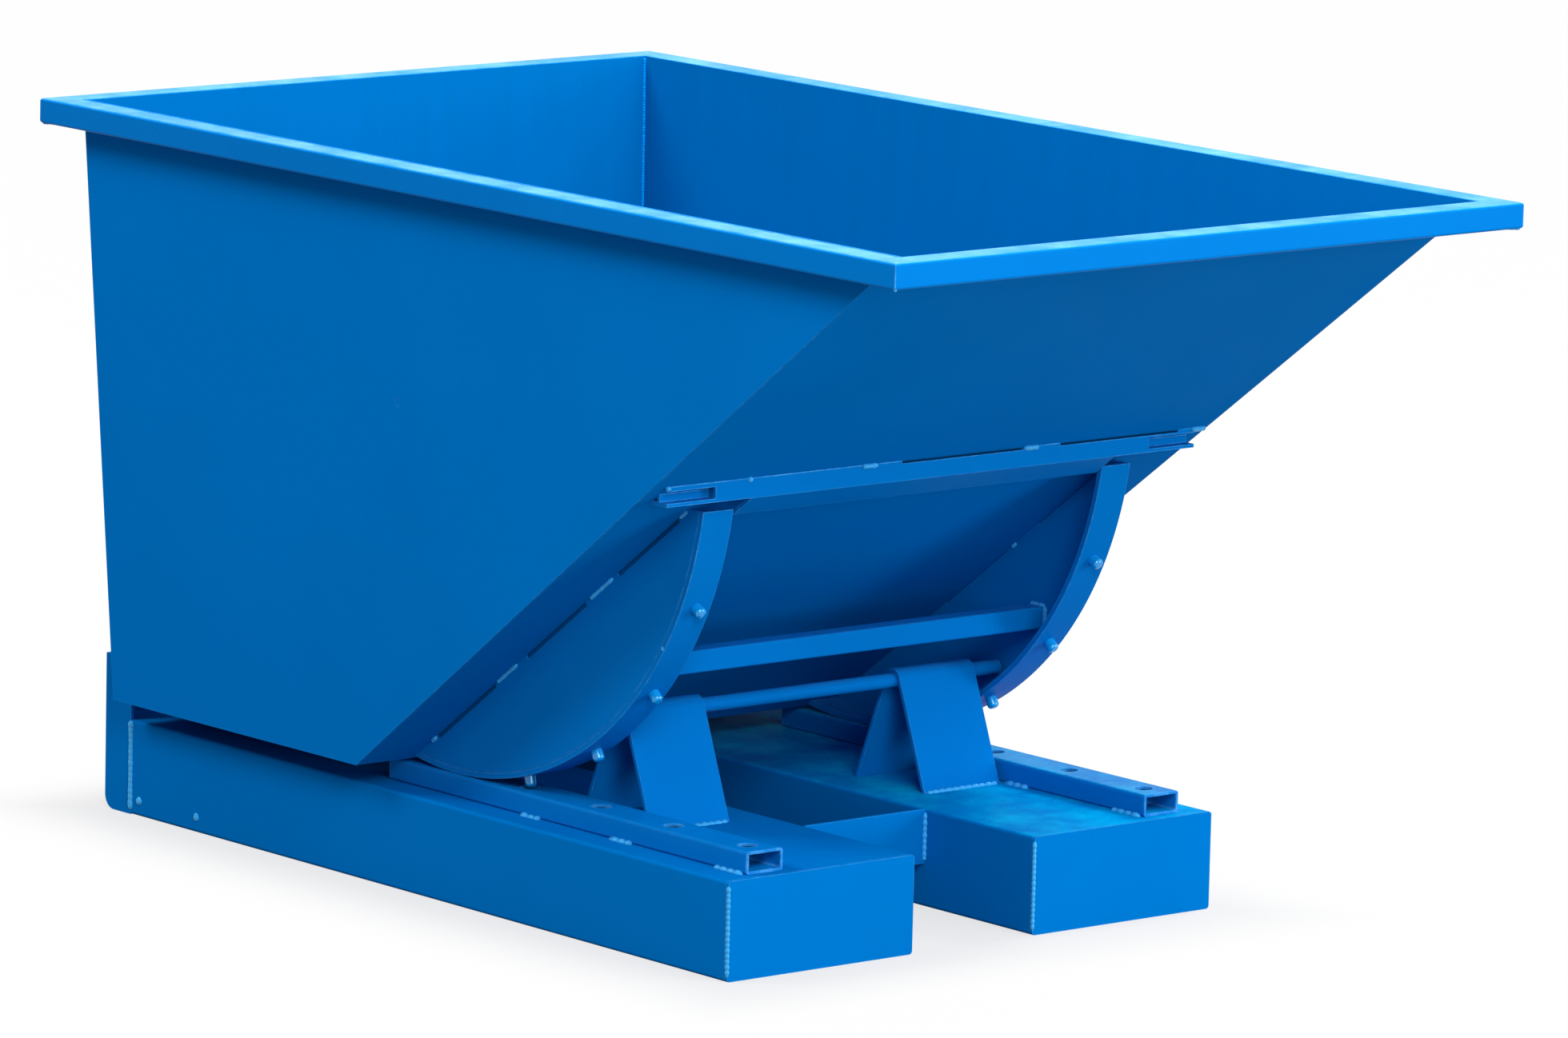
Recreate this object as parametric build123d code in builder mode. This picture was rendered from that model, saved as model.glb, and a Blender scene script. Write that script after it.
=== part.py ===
from build123d import *
import os
from math import atan, cos, degrees, hypot, radians, sin, tan, acos, atan2

# Tipping hopper: a welded sheet-steel bin that rolls on two curved rockers along a fork-pocket base.
# Millimetres. +Z is up, the bin tips towards -Y, and the origin is on the floor under the middle.

os.makedirs("parts", exist_ok=True)

SIDES = (("left", -1), ("right", 1))
ENDS = (("front", -1), ("rear", 1))

# Rim tube around the mouth of the bin, outside the sheets, with the front one on the lip of the slope
rim_length = 1793.0
rim_width = 1060.0
rim_top = 991.5
rim_tube_height = 34.0
rim_tube_wall = 3.0
rim_tube_corner = 4.0
rim_overhang = 42.0
rim_landing = 7.0

# Bin sheets
side_sheet = 3.0
slope_sheet = 3.0
rear_sheet = 4.0
bottom_sheet = 5.0
bin_bottom_width = 918.0
bin_bottom_rear = 810.0
slope_foot = 262.0
slope_angle = 36.4
seam_gap = 0.1

# Fork pockets and the plates that join them
pocket_gap = 206.0
pocket_width = 311.0
pocket_height = 132.0
pocket_wall = 5.0
pocket_corner = 5.0
base_front = -464.0
base_rear = 888.5
pocket_end_sheet = 5.0
cross_plate_sheet = 6.0
cross_plate_front = -244.0
cross_plate_height = 74.0
rear_plate_sheet = 6.0
rear_frame_height = 217.0
rear_flange_depth = 59.0
rear_foot_radius = 20.0

# Rails on the pockets, with the holes that the rocker studs drop into
rail_centre = 340.0
rail_width = 60.0
rail_height = 30.0
rail_wall = 4.0
rail_corner = 4.0
rail_front = -446.0
rail_rear = 305.0
rail_hole_radius = 12.0

# Rockers under the slope
rocker_radius = 507.0
rocker_contact = 162.6
rocker_rail_gap = 0.3
rocker_reach = 80.6
band_width = 50.0
band_sheet = 8.0
rocker_plate_sheet = 6.0
plate_relief_depth = 6.0
plate_relief_length = 150.0
plate_relief_pitch = 232.0
plate_relief_first = 142.0
plate_relief_count = 3
stud_radius = 8.0
stud_height = 15.0
stud_dome = 5.0
stud_pitch = 150.0
stud_first = -27.0
stud_count = 5

# Stiffeners between the rockers
cross_tube_size = 30.0
cross_tube_wall = 3.0
cross_tube_corner = 3.0
cross_tube_centre = -166.4
cross_tube_height = 355.0
member_lead = 29.808
member_drop = 27.0
member_back_leg = 45.0
member_sheet = 5.0
member_length = 900.0
member_cope = 5.0
member_face_overhang = 5.0
member_recess = 15.0
member_strip = 7.0
member_relief_depth = 4.0
member_relief_length = 208.0
member_relief_pitch = 272.0
member_relief_first = 46.0
member_relief_count = 2

# Stop bar and the two bent stands that carry it
stop_bar_radius = 10.0
stop_bar_length = 704.0
stop_bar_position = -93.0
stop_bar_height = 275.0
stand_sheet = 6.0
stand_inner = 168.0
stand_width = 132.0
stand_span = 146.0
stand_fit = 0.1

# Rear rest with rubber pads, under the back of the bin floor
rest_tube_length = 600.0
rest_tube_width = 60.0
rest_tube_height = 30.0
rest_tube_wall = 3.0
rest_tube_corner = 3.0
rest_tube_position = 770.0
rest_pad_height = 5.0
rest_pad_length = 120.0
rest_pad_width = 50.0
rest_pad_spacing = 440.0
rest_gap = 0.3

# Latch: a hook on the base that swings over a rod on the back of the bin
striker_radius = 7.0
striker_length = 80.0
striker_height = 290.0
striker_stand_off = 25.0
striker_lug_sheet = 6.0
striker_lug_spacing = 58.0
striker_lug_radius = 12.0
striker_lug_root = 32.0
striker_fit = 0.1
latch_pivot_drop = 64.0
latch_pivot_back = 4.0
latch_pin_radius = 6.0
latch_pin_head = 2.0
latch_pin_running = 0.05
hook_sheet = 12.0
hook_eye_radius = 16.0
hook_arm_width = 16.0
hook_nose_reach = 18.0
hook_head_height = 21.5
hook_side_room = 1.0
hook_rod_room = 1.0
hook_nose_room = 1.5
hook_throw = 18.0
hook_stop_gap = 0.3
cheek_sheet = 6.0
cheek_foot = 176.0
grip_radius = 6.0
grip_length = 110.0
grip_fit = 0.1

# Flush round plugs in the side walls, on the axis that the bin rolls about
plug_radius = 5.0
plug_gap = 0.3
plug_recess = 0.3

# Levels and lines that several pieces share
wall_top = rim_top
lip_top = rim_top - rim_tube_height
rim_tube_width = rim_overhang - seam_gap
rim_front_inner = rim_tube_width - rim_length / 2
lip_front = rim_front_inner - rim_landing
bin_floor = pocket_height + rest_tube_height + rest_pad_height + rest_gap
rail_top = pocket_height + rail_height
rocker_centre_z = rail_top + rocker_rail_gap + rocker_radius
slope_run = 1 / tan(radians(slope_angle))


def wall_lean(reach_at_rim, reach_at_floor):
    """How far a wall leans out for each millimetre of height, so that it stands against the rim tube."""
    widest_level = rim_top if reach_at_rim > reach_at_floor else lip_top
    return (reach_at_rim - reach_at_floor) / (widest_level - bin_floor)


wall_half_bottom = bin_bottom_width / 2
side_lean = wall_lean(rim_width / 2 - rim_overhang, wall_half_bottom)
side_tilt = atan(side_lean)
wall_half_top = wall_half_bottom + side_lean * (wall_top - bin_floor)
wall_reach = max(wall_half_top, wall_half_bottom) + side_sheet
rear_lean = wall_lean(rim_length / 2 - rim_overhang, bin_bottom_rear)
rear_top = bin_bottom_rear + rear_lean * (wall_top - bin_floor)
band_outer = rail_centre + band_width / 2
band_inner = rail_centre - band_width / 2
band_hollow_radius = rocker_radius - band_sheet
plate_inner = band_outer - rocker_plate_sheet
base_half = pocket_gap / 2 + pocket_width
rear_plate_face = base_rear - rear_plate_sheet
pocket_middle = pocket_gap / 2 + pocket_width / 2


def slope_y(z):
    """Where the underside of the slope stands at a height."""
    return slope_foot - (z - bin_floor) * slope_run


def slope_z(y):
    """How high the underside of the slope is at a place along the base."""
    return bin_floor + (slope_foot - y) / slope_run


def rear_y(z):
    """Where the outside of the rear wall stands at a height."""
    return bin_bottom_rear + (z - bin_floor) * rear_lean


def side_plane(sign, inset):
    """A plane parallel to the outside of a side wall and that far inside it, facing outwards."""
    wall = Plane(origin=(sign * wall_half_top, 0, wall_top), z_dir=(sign * cos(side_tilt), 0, -sin(side_tilt)))
    return wall.offset(-inset)


def mitre_plane(side_sign, end_sign):
    """The upright plane through a corner of the rim, facing the side tube."""
    corner = (side_sign * rim_width / 2, end_sign * rim_length / 2, 0)
    return Plane(origin=corner, z_dir=(side_sign, -end_sign, 0))


# Side walls, cut to the outline of the bin and leaning outwards, and as high as the top of the rim
side_outline = [
    (slope_foot, bin_floor),
    (bin_bottom_rear, bin_floor),
    (rear_top, wall_top),
    (rim_front_inner + seam_gap, wall_top),
    (rim_front_inner + seam_gap, lip_top),
    (lip_front, lip_top),
    (lip_front, lip_top - slope_sheet),
    (slope_y(lip_top - slope_sheet), lip_top - slope_sheet),
]
for side, sign in SIDES:
    with BuildPart() as bin_side:
        with BuildSketch(Plane.YZ):
            Polygon(*side_outline)
        extrude(amount=sign * wall_reach)
        with BuildSketch(Plane.YZ):
            with Locations((rocker_contact, rocker_centre_z)):
                Circle(plug_radius + plug_gap)
        extrude(amount=sign * wall_reach, mode=Mode.SUBTRACT)
        split(bisect_by=side_plane(sign, 0), keep=Keep.BOTTOM)
        split(bisect_by=side_plane(sign, side_sheet), keep=Keep.TOP)
    bin_side.part.label = f"bin_side_{side}"
    export_step(bin_side.part, f"parts/bin_side_{side}.step")

# Floor sheet, flat between the side walls
floor_top = bin_floor + bottom_sheet
with BuildPart() as bin_bottom:
    with BuildSketch(Plane.YZ):
        Polygon(
            (slope_foot, bin_floor),
            (bin_bottom_rear, bin_floor),
            (rear_y(floor_top), floor_top),
            (slope_foot, floor_top),
        )
    extrude(amount=wall_reach, both=True)
    for side, sign in SIDES:
        split(bisect_by=side_plane(sign, side_sheet + seam_gap), keep=Keep.BOTTOM)
bin_bottom.part.label = "bin_bottom"
export_step(bin_bottom.part, "parts/bin_bottom.step")

# Rear wall, standing on the floor sheet and as high as the side walls
rear_level = rear_sheet * hypot(1, rear_lean)
with BuildPart() as bin_rear_wall:
    with BuildSketch(Plane.YZ):
        Polygon(
            (rear_y(floor_top), floor_top),
            (rear_top, wall_top),
            (rear_top - rear_level, wall_top),
            (rear_y(floor_top) - rear_level, floor_top),
        )
    extrude(amount=wall_reach, both=True)
    for side, sign in SIDES:
        split(bisect_by=side_plane(sign, side_sheet + seam_gap), keep=Keep.BOTTOM)
bin_rear_wall.part.label = "bin_rear_wall"
export_step(bin_rear_wall.part, "parts/bin_rear_wall.step")

# Slope sheet, with a lip folded forward at its top to carry the front rim tube
slope_rise = slope_sheet / cos(radians(slope_angle))
with BuildPart() as bin_slope:
    with BuildSketch(Plane.YZ):
        Polygon(
            (slope_foot, bin_floor),
            (slope_foot, bin_floor + slope_rise),
            (slope_y(lip_top - slope_rise), lip_top),
            (lip_front, lip_top),
            (lip_front, lip_top - slope_sheet),
            (slope_y(lip_top - slope_sheet), lip_top - slope_sheet),
        )
    extrude(amount=wall_reach, both=True)
    for side, sign in SIDES:
        split(bisect_by=side_plane(sign, side_sheet + seam_gap), keep=Keep.BOTTOM)
bin_slope.part.label = "bin_slope"
export_step(bin_slope.part, "parts/bin_slope.step")

# Rim tubes across the front and the rear, mitred at the corners
rim_tube_centre_z = rim_top - rim_tube_height / 2
for end, end_sign in ENDS:
    with BuildPart() as rim_end:
        with BuildSketch(Plane.YZ):
            with Locations((end_sign * (rim_length - rim_tube_width) / 2, rim_tube_centre_z)):
                RectangleRounded(rim_tube_width, rim_tube_height, rim_tube_corner)
                Rectangle(
                    rim_tube_width - 2 * rim_tube_wall,
                    rim_tube_height - 2 * rim_tube_wall,
                    mode=Mode.SUBTRACT,
                )
        extrude(amount=rim_width / 2, both=True)
        for side, sign in SIDES:
            split(bisect_by=mitre_plane(sign, end_sign), keep=Keep.BOTTOM)
    rim_end.part.label = f"rim_{end}"
    export_step(rim_end.part, f"parts/rim_{end}.step")

# Rim tubes along the two sides
for side, sign in SIDES:
    with BuildPart() as rim_side:
        with BuildSketch(Plane.XZ):
            with Locations((sign * (rim_width - rim_tube_width) / 2, rim_tube_centre_z)):
                RectangleRounded(rim_tube_width, rim_tube_height, rim_tube_corner)
                Rectangle(
                    rim_tube_width - 2 * rim_tube_wall,
                    rim_tube_height - 2 * rim_tube_wall,
                    mode=Mode.SUBTRACT,
                )
        extrude(amount=rim_length / 2, both=True)
        for end, end_sign in ENDS:
            split(bisect_by=mitre_plane(sign, end_sign), keep=Keep.TOP)
    rim_side.part.label = f"rim_{side}"
    export_step(rim_side.part, f"parts/rim_{side}.step")

# Rocker bands: curved strips that roll on the rails, and end against the slope
band_top = rocker_centre_z - rocker_radius * cos(radians(rocker_reach))
rocker_front = rocker_contact - 2 * rocker_radius
under_slope = [
    (slope_y(band_top), band_top),
    (slope_y(0), 0),
    (rocker_front, 0),
    (rocker_front, band_top),
]
for side, sign in SIDES:
    with BuildPart() as rocker_band:
        with BuildSketch(Plane.YZ.offset(sign * band_inner)):
            with Locations((rocker_contact, rocker_centre_z)):
                Circle(rocker_radius)
                Circle(band_hollow_radius, mode=Mode.SUBTRACT)
            Polygon(*under_slope, mode=Mode.INTERSECT)
        extrude(amount=sign * band_width)
    rocker_band.part.label = f"rocker_band_{side}"
    export_step(rocker_band.part, f"parts/rocker_band_{side}.step")

# Rocker plates: upright webs between the bands and the slope, flush with the outer edge of the bands.
# Their upper edge is relieved between the places where it is stitched to the slope.
plate_reliefs = [
    (
        slope_foot - (plate_relief_first + step * plate_relief_pitch) * cos(radians(slope_angle)),
        bin_floor + (plate_relief_first + step * plate_relief_pitch) * sin(radians(slope_angle)),
    )
    for step in range(plate_relief_count)
]
for side, sign in SIDES:
    with BuildPart() as rocker_plate:
        with BuildSketch(Plane.YZ.offset(sign * plate_inner)):
            with Locations((rocker_contact, rocker_centre_z)):
                Circle(band_hollow_radius - seam_gap)
            Polygon(*under_slope, mode=Mode.INTERSECT)
            with Locations(*plate_reliefs):
                Rectangle(
                    plate_relief_length,
                    2 * plate_relief_depth,
                    rotation=-slope_angle,
                    mode=Mode.SUBTRACT,
                )
        extrude(amount=sign * rocker_plate_sheet)
    rocker_plate.part.label = f"rocker_plate_{side}"
    export_step(rocker_plate.part, f"parts/rocker_plate_{side}.step")

# Studs on the bands, spaced along the arc like the holes in the rails
stud_leads = [stud_first + step * stud_pitch for step in range(stud_count)]
for side, sign in SIDES:
    with BuildPart() as rocker_studs:
        for lead in stud_leads:
            turn = lead / rocker_radius
            outward = (0, -sin(turn), -cos(turn))
            seat = (
                sign * rail_centre,
                rocker_contact - rocker_radius * sin(turn),
                rocker_centre_z - rocker_radius * cos(turn),
            )
            with BuildSketch(Plane(origin=seat, z_dir=outward)):
                Circle(stud_radius)
            extrude(amount=stud_height)
            tip = rocker_studs.faces().filter_by(GeomType.PLANE).sort_by(Axis(seat, outward))[-1]
            fillet(tip.edges(), stud_dome)
    rocker_studs.part.label = f"rocker_studs_{side}"
    export_step(rocker_studs.part, f"parts/rocker_studs_{side}.step")

# Square tube that ties the two rocker plates together
with BuildPart() as rocker_cross_tube:
    with BuildSketch(Plane.YZ):
        with Locations((cross_tube_centre, cross_tube_height)):
            RectangleRounded(cross_tube_size, cross_tube_size, cross_tube_corner)
            Rectangle(
                cross_tube_size - 2 * cross_tube_wall,
                cross_tube_size - 2 * cross_tube_wall,
                mode=Mode.SUBTRACT,
            )
    extrude(amount=plate_inner - seam_gap, both=True)
rocker_cross_tube.part.label = "rocker_cross_tube"
export_step(rocker_cross_tube.part, "parts/rocker_cross_tube.step")

# Folded stiffener across the slope just above the bands. Between the rocker plates it has a closed face
# and a back leg that is cut short of the bands, and beyond them it is an open channel.
member_front = rocker_contact - rocker_radius * sin(radians(rocker_reach)) - member_lead
member_back = member_front + member_sheet
member_top = slope_z(member_front)
member_fold = member_top - member_drop
member_face_end = band_outer + member_face_overhang
web_front = member_front + member_recess
web_back = web_front + member_sheet
leg_along = (cos(radians(slope_angle)), -sin(radians(slope_angle)))
leg_up = (sin(radians(slope_angle)), cos(radians(slope_angle)))
leg_end = (
    member_front + member_back_leg * leg_along[0],
    member_fold + member_back_leg * leg_along[1],
)
member_reliefs = [
    (member_relief_first + step * member_relief_pitch, member_top) for step in range(member_relief_count)
]
with BuildPart() as upper_cross_member:
    with BuildSketch(Plane.YZ):
        Polygon(
            (member_front, member_top),
            (member_back, slope_z(member_back)),
            (member_back, member_fold),
            (member_front, member_fold),
        )
    extrude(amount=member_face_end, both=True)
    for side, sign in SIDES:
        with BuildSketch(Plane.YZ.offset(sign * member_face_end)):
            Polygon(
                (member_front, member_top),
                (member_back, slope_z(member_back)),
                (member_back, member_top - member_strip),
                (member_front, member_top - member_strip),
            )
            Polygon(
                (member_front, member_fold),
                (member_front, member_fold + member_sheet),
                (slope_y(member_fold + member_sheet), member_fold + member_sheet),
                (slope_y(member_fold), member_fold),
            )
            Polygon(
                (web_front, member_fold),
                (web_front, slope_z(web_front)),
                (web_back, slope_z(web_back)),
                (web_back, member_fold),
            )
        extrude(amount=sign * (member_length / 2 - member_face_end))
    with BuildSketch(Plane.XZ.offset(-member_front)):
        with Locations(*member_reliefs):
            Rectangle(member_relief_length, 2 * member_relief_depth)
    extrude(amount=-member_sheet, mode=Mode.SUBTRACT)
    with BuildSketch(Plane.YZ):
        Polygon(
            (member_front, member_fold),
            leg_end,
            (leg_end[0] + member_sheet * leg_up[0], leg_end[1] + member_sheet * leg_up[1]),
            (member_front, member_fold + member_sheet / leg_up[1]),
        )
    extrude(amount=band_inner - member_cope, both=True)
upper_cross_member.part.label = "upper_cross_member"
export_step(upper_cross_member.part, "parts/upper_cross_member.step")

# Fork pockets: folded boxes, open at the rear, whose outer wall stops where the rear frame's flange starts
pocket_length = rear_plate_face - base_front - pocket_end_sheet
for side, sign in SIDES:
    with BuildPart() as fork_pocket:
        with BuildSketch(Plane.XZ.offset(-rear_plate_face)):
            with Locations((sign * pocket_middle, pocket_height / 2)):
                RectangleRounded(pocket_width, pocket_height, pocket_corner)
                Rectangle(
                    pocket_width - 2 * pocket_wall,
                    pocket_height - 2 * pocket_wall,
                    mode=Mode.SUBTRACT,
                )
        extrude(amount=pocket_length)
        with BuildSketch(Plane.XZ.offset(-rear_plate_face)):
            with Locations((sign * (base_half - pocket_wall / 2), pocket_height / 2)):
                Rectangle(pocket_wall, pocket_height)
        extrude(amount=rear_flange_depth - rear_plate_sheet, mode=Mode.SUBTRACT)
    fork_pocket.part.label = f"fork_pocket_{side}"
    export_step(fork_pocket.part, f"parts/fork_pocket_{side}.step")

# End plates that close the front of the pockets
for side, sign in SIDES:
    with BuildPart() as pocket_end:
        with BuildSketch(Plane.XZ.offset(-base_front)):
            with Locations((sign * pocket_middle, pocket_height / 2)):
                RectangleRounded(pocket_width, pocket_height, pocket_corner)
        extrude(amount=-pocket_end_sheet)
    pocket_end.part.label = f"pocket_end_{side}"
    export_step(pocket_end.part, f"parts/pocket_end_{side}.step")

# Cross plate that joins the pockets towards the front
with BuildPart() as front_cross_plate:
    with BuildSketch(Plane.XZ.offset(-cross_plate_front)):
        with Locations((0, pocket_height - cross_plate_height / 2)):
            Rectangle(pocket_gap, cross_plate_height)
    extrude(amount=-cross_plate_sheet)
front_cross_plate.part.label = "front_cross_plate"
export_step(front_cross_plate.part, "parts/front_cross_plate.step")

# Rear frame: one folded plate, with a back that is cut out for the forks and a flange down each side
rear_flange_front = base_rear - rear_flange_depth
fork_way_width = pocket_width - 2 * pocket_wall
fork_way_top = pocket_height - pocket_wall
with BuildPart() as rear_frame:
    with BuildSketch(Plane.YZ.offset(-base_half)):
        with BuildLine():
            Polyline(
                (base_rear, rear_foot_radius),
                (base_rear, rear_frame_height),
                (rear_flange_front, rear_frame_height),
                (rear_flange_front, 0),
                (base_rear - rear_foot_radius, 0),
            )
            RadiusArc(
                (base_rear - rear_foot_radius, 0), (base_rear, rear_foot_radius), -rear_foot_radius
            )
        make_face()
    extrude(amount=2 * base_half)
    with BuildSketch(Plane.YZ.offset(-base_half + pocket_wall)):
        with Locations((rear_flange_front, 0)):
            Rectangle(
                rear_flange_depth - rear_plate_sheet, rear_frame_height, align=(Align.MIN, Align.MIN)
            )
    extrude(amount=2 * (base_half - pocket_wall), mode=Mode.SUBTRACT)
    with BuildSketch(Plane.XZ.offset(-base_rear)):
        with Locations((-pocket_middle, 0), (pocket_middle, 0)):
            Rectangle(fork_way_width, fork_way_top, align=(Align.CENTER, Align.MIN))
    extrude(amount=rear_plate_sheet, mode=Mode.SUBTRACT)
rear_frame.part.label = "rear_frame"
export_step(rear_frame.part, "parts/rear_frame.step")

# Rails: rectangular tubes on the pockets, with holes through the top wall only
for side, sign in SIDES:
    with BuildPart() as rail:
        with BuildSketch(Plane.XZ.offset(-rail_rear)):
            with Locations((sign * rail_centre, pocket_height + rail_height / 2)):
                RectangleRounded(rail_width, rail_height, rail_corner)
                Rectangle(rail_width - 2 * rail_wall, rail_height - 2 * rail_wall, mode=Mode.SUBTRACT)
        extrude(amount=rail_rear - rail_front)
        with BuildSketch(Plane.XY.offset(rail_top)):
            for lead in stud_leads:
                with Locations((sign * rail_centre, rocker_contact - lead)):
                    Circle(rail_hole_radius)
        extrude(amount=-rail_wall, mode=Mode.SUBTRACT)
    rail.part.label = f"rail_{side}"
    export_step(rail.part, f"parts/rail_{side}.step")

# Rear rest: a tube across the pockets that the bin floor comes down on
with BuildPart() as rear_rest_tube:
    with BuildSketch(Plane.YZ):
        with Locations((rest_tube_position, pocket_height + rest_tube_height / 2)):
            RectangleRounded(rest_tube_width, rest_tube_height, rest_tube_corner)
            Rectangle(
                rest_tube_width - 2 * rest_tube_wall,
                rest_tube_height - 2 * rest_tube_wall,
                mode=Mode.SUBTRACT,
            )
    extrude(amount=rest_tube_length / 2, both=True)
rear_rest_tube.part.label = "rear_rest_tube"
export_step(rear_rest_tube.part, "parts/rear_rest_tube.step")

# Rubber pads on the rear rest
with BuildPart() as rest_pads:
    with BuildSketch(Plane.XY.offset(pocket_height + rest_tube_height)):
        with Locations((0, rest_tube_position)):
            with GridLocations(rest_pad_spacing, 0, 2, 1):
                Rectangle(rest_pad_length, rest_pad_width)
    extrude(amount=rest_pad_height)
rest_pads.part.label = "rest_pads"
export_step(rest_pads.part, "parts/rest_pads.step")

# Stop stands: plates bent over the stop bar, with both feet on a pocket
bend_inner = stop_bar_radius + stand_fit
bend_outer = bend_inner + stand_sheet
stand_rise = stop_bar_height - pocket_height
foot_distance = hypot(stand_span / 2, stand_rise)
touch_angle = atan2(stand_span / 2, stand_rise) + acos(bend_outer / foot_distance)
touch_out = sin(touch_angle)
touch_up = -cos(touch_angle)
foot_inset = stand_sheet / touch_out
bend_top = stop_bar_height + bend_outer
bend_hollow_top = stop_bar_height + bend_inner
stand_feet = [stop_bar_position + way * stand_span / 2 for way in (-1, 1)]
outer_touch = [
    (stop_bar_position + way * bend_outer * touch_out, stop_bar_height + bend_outer * touch_up)
    for way in (-1, 1)
]
inner_touch = [
    (stop_bar_position + way * bend_inner * touch_out, stop_bar_height + bend_inner * touch_up)
    for way in (-1, 1)
]
for side, sign in SIDES:
    with BuildPart() as stop_stand:
        with BuildSketch(Plane.YZ.offset(sign * stand_inner)):
            with BuildLine():
                Line((stand_feet[0], pocket_height), outer_touch[0])
                ThreePointArc(outer_touch[0], (stop_bar_position, bend_top), outer_touch[1])
                Polyline(
                    outer_touch[1],
                    (stand_feet[1], pocket_height),
                    (stand_feet[1] - foot_inset, pocket_height),
                    inner_touch[1],
                )
                ThreePointArc(inner_touch[1], (stop_bar_position, bend_hollow_top), inner_touch[0])
                Polyline(
                    inner_touch[0],
                    (stand_feet[0] + foot_inset, pocket_height),
                    (stand_feet[0], pocket_height),
                )
            make_face()
        extrude(amount=sign * stand_width)
    stop_stand.part.label = f"stop_stand_{side}"
    export_step(stop_stand.part, f"parts/stop_stand_{side}.step")

# Stop bar: a round bar through both stands whose ends reach in over the rocker bands
with BuildPart() as stop_bar:
    with BuildSketch(Plane.YZ):
        with Locations((stop_bar_position, stop_bar_height)):
            Circle(stop_bar_radius)
    extrude(amount=stop_bar_length / 2, both=True)
stop_bar.part.label = "stop_bar"
export_step(stop_bar.part, "parts/stop_bar.step")

# Striker rod across the back of the bin
striker_y = rear_y(striker_height) + striker_stand_off
with BuildPart() as striker_rod:
    with BuildSketch(Plane.YZ):
        with Locations((striker_y, striker_height)):
            Circle(striker_radius)
    extrude(amount=striker_length / 2, both=True)
striker_rod.part.label = "striker_rod"
export_step(striker_rod.part, "parts/striker_rod.step")

# Lugs that hold the striker rod off the rear wall
lug_low = striker_height - striker_lug_root / 2
lug_high = striker_height + striker_lug_root / 2
with BuildPart() as striker_lugs:
    for side, sign in SIDES:
        with BuildSketch(Plane.YZ.offset(sign * striker_lug_spacing / 2)):
            Polygon(
                (rear_y(lug_low), lug_low),
                (striker_y, striker_height - striker_lug_radius),
                (striker_y, striker_height + striker_lug_radius),
                (rear_y(lug_high), lug_high),
            )
            with Locations((striker_y, striker_height)):
                Circle(striker_lug_radius)
                Circle(striker_radius + striker_fit, mode=Mode.SUBTRACT)
        extrude(amount=striker_lug_sheet / 2, both=True)
striker_lugs.part.label = "striker_lugs"
export_step(striker_lugs.part, "parts/striker_lugs.step")

# Latch hook, drawn about its pivot as it stands when hooked, then laid back by its throw
pivot_y = striker_y + latch_pivot_back
pivot_z = striker_height - latch_pivot_drop
rod_y = striker_y - pivot_y
rod_z = striker_height - pivot_z
arm_front = rod_y + striker_radius + hook_rod_room
arm_back = arm_front + hook_arm_width
nose_tip = arm_front - hook_nose_reach
nose_under = rod_z + striker_radius + hook_nose_room
head_top = nose_under + hook_head_height
grip_at = ((arm_front + arm_back) / 2, (nose_under + head_top) / 2)
throw = radians(hook_throw)
laid_back = Plane(origin=(0, pivot_y, pivot_z), x_dir=(0, cos(throw), -sin(throw)), z_dir=(1, 0, 0))
with BuildPart() as latch_hook:
    with BuildSketch(laid_back):
        Circle(hook_eye_radius)
        Polygon(
            (0, -hook_eye_radius),
            (arm_back, 0),
            (arm_back, head_top),
            (nose_tip, head_top),
            (nose_tip, nose_under),
            (arm_front, nose_under),
            (arm_front, 0),
            (0, 0),
        )
        Circle(latch_pin_radius + latch_pin_running, mode=Mode.SUBTRACT)
        with Locations(grip_at):
            Circle(grip_radius + grip_fit, mode=Mode.SUBTRACT)
    extrude(amount=hook_sheet / 2, both=True)
latch_hook.part.label = "latch_hook"
export_step(latch_hook.part, "parts/latch_hook.step")

# Hand grip: a round bar through the head of the hook
with BuildPart() as latch_grip:
    with BuildSketch(laid_back):
        with Locations(grip_at):
            Circle(grip_radius)
    extrude(amount=grip_length / 2, both=True)
latch_grip.part.label = "latch_grip"
export_step(latch_grip.part, "parts/latch_grip.step")

# Latch bracket: two cheeks around the hook and a back web, whose top edge the laid-back hook leans on
cheek_inner = hook_sheet / 2 + hook_side_room
cheek_outer = cheek_inner + cheek_sheet
web_face = rear_plate_face - cheek_sheet
lean_along = (web_face - hook_stop_gap - pivot_y - arm_back * cos(throw)) / sin(throw)
web_top = pivot_z + lean_along * cos(throw) - arm_back * sin(throw)
with BuildPart() as latch_bracket:
    for side, sign in SIDES:
        with BuildSketch(Plane.YZ.offset(sign * cheek_inner)):
            Polygon(
                (rear_plate_face, cheek_foot),
                (rear_plate_face, pivot_z + hook_eye_radius),
                (pivot_y, pivot_z + hook_eye_radius),
                (pivot_y, pivot_z - hook_eye_radius),
            )
            with Locations((pivot_y, pivot_z)):
                Circle(hook_eye_radius)
                Circle(latch_pin_radius + latch_pin_running, mode=Mode.SUBTRACT)
        extrude(amount=sign * cheek_sheet)
    with BuildSketch(Plane.XZ.offset(-rear_plate_face)):
        with Locations((0, cheek_foot)):
            Rectangle(2 * cheek_outer, web_top - cheek_foot, align=(Align.CENTER, Align.MIN))
    extrude(amount=cheek_sheet)
latch_bracket.part.label = "latch_bracket"
export_step(latch_bracket.part, "parts/latch_bracket.step")

# Latch pin through the cheeks and the hook
with BuildPart() as latch_pin:
    with BuildSketch(Plane.YZ):
        with Locations((pivot_y, pivot_z)):
            Circle(latch_pin_radius)
    extrude(amount=cheek_outer + latch_pin_head, both=True)
latch_pin.part.label = "latch_pin"
export_step(latch_pin.part, "parts/latch_pin.step")

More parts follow.
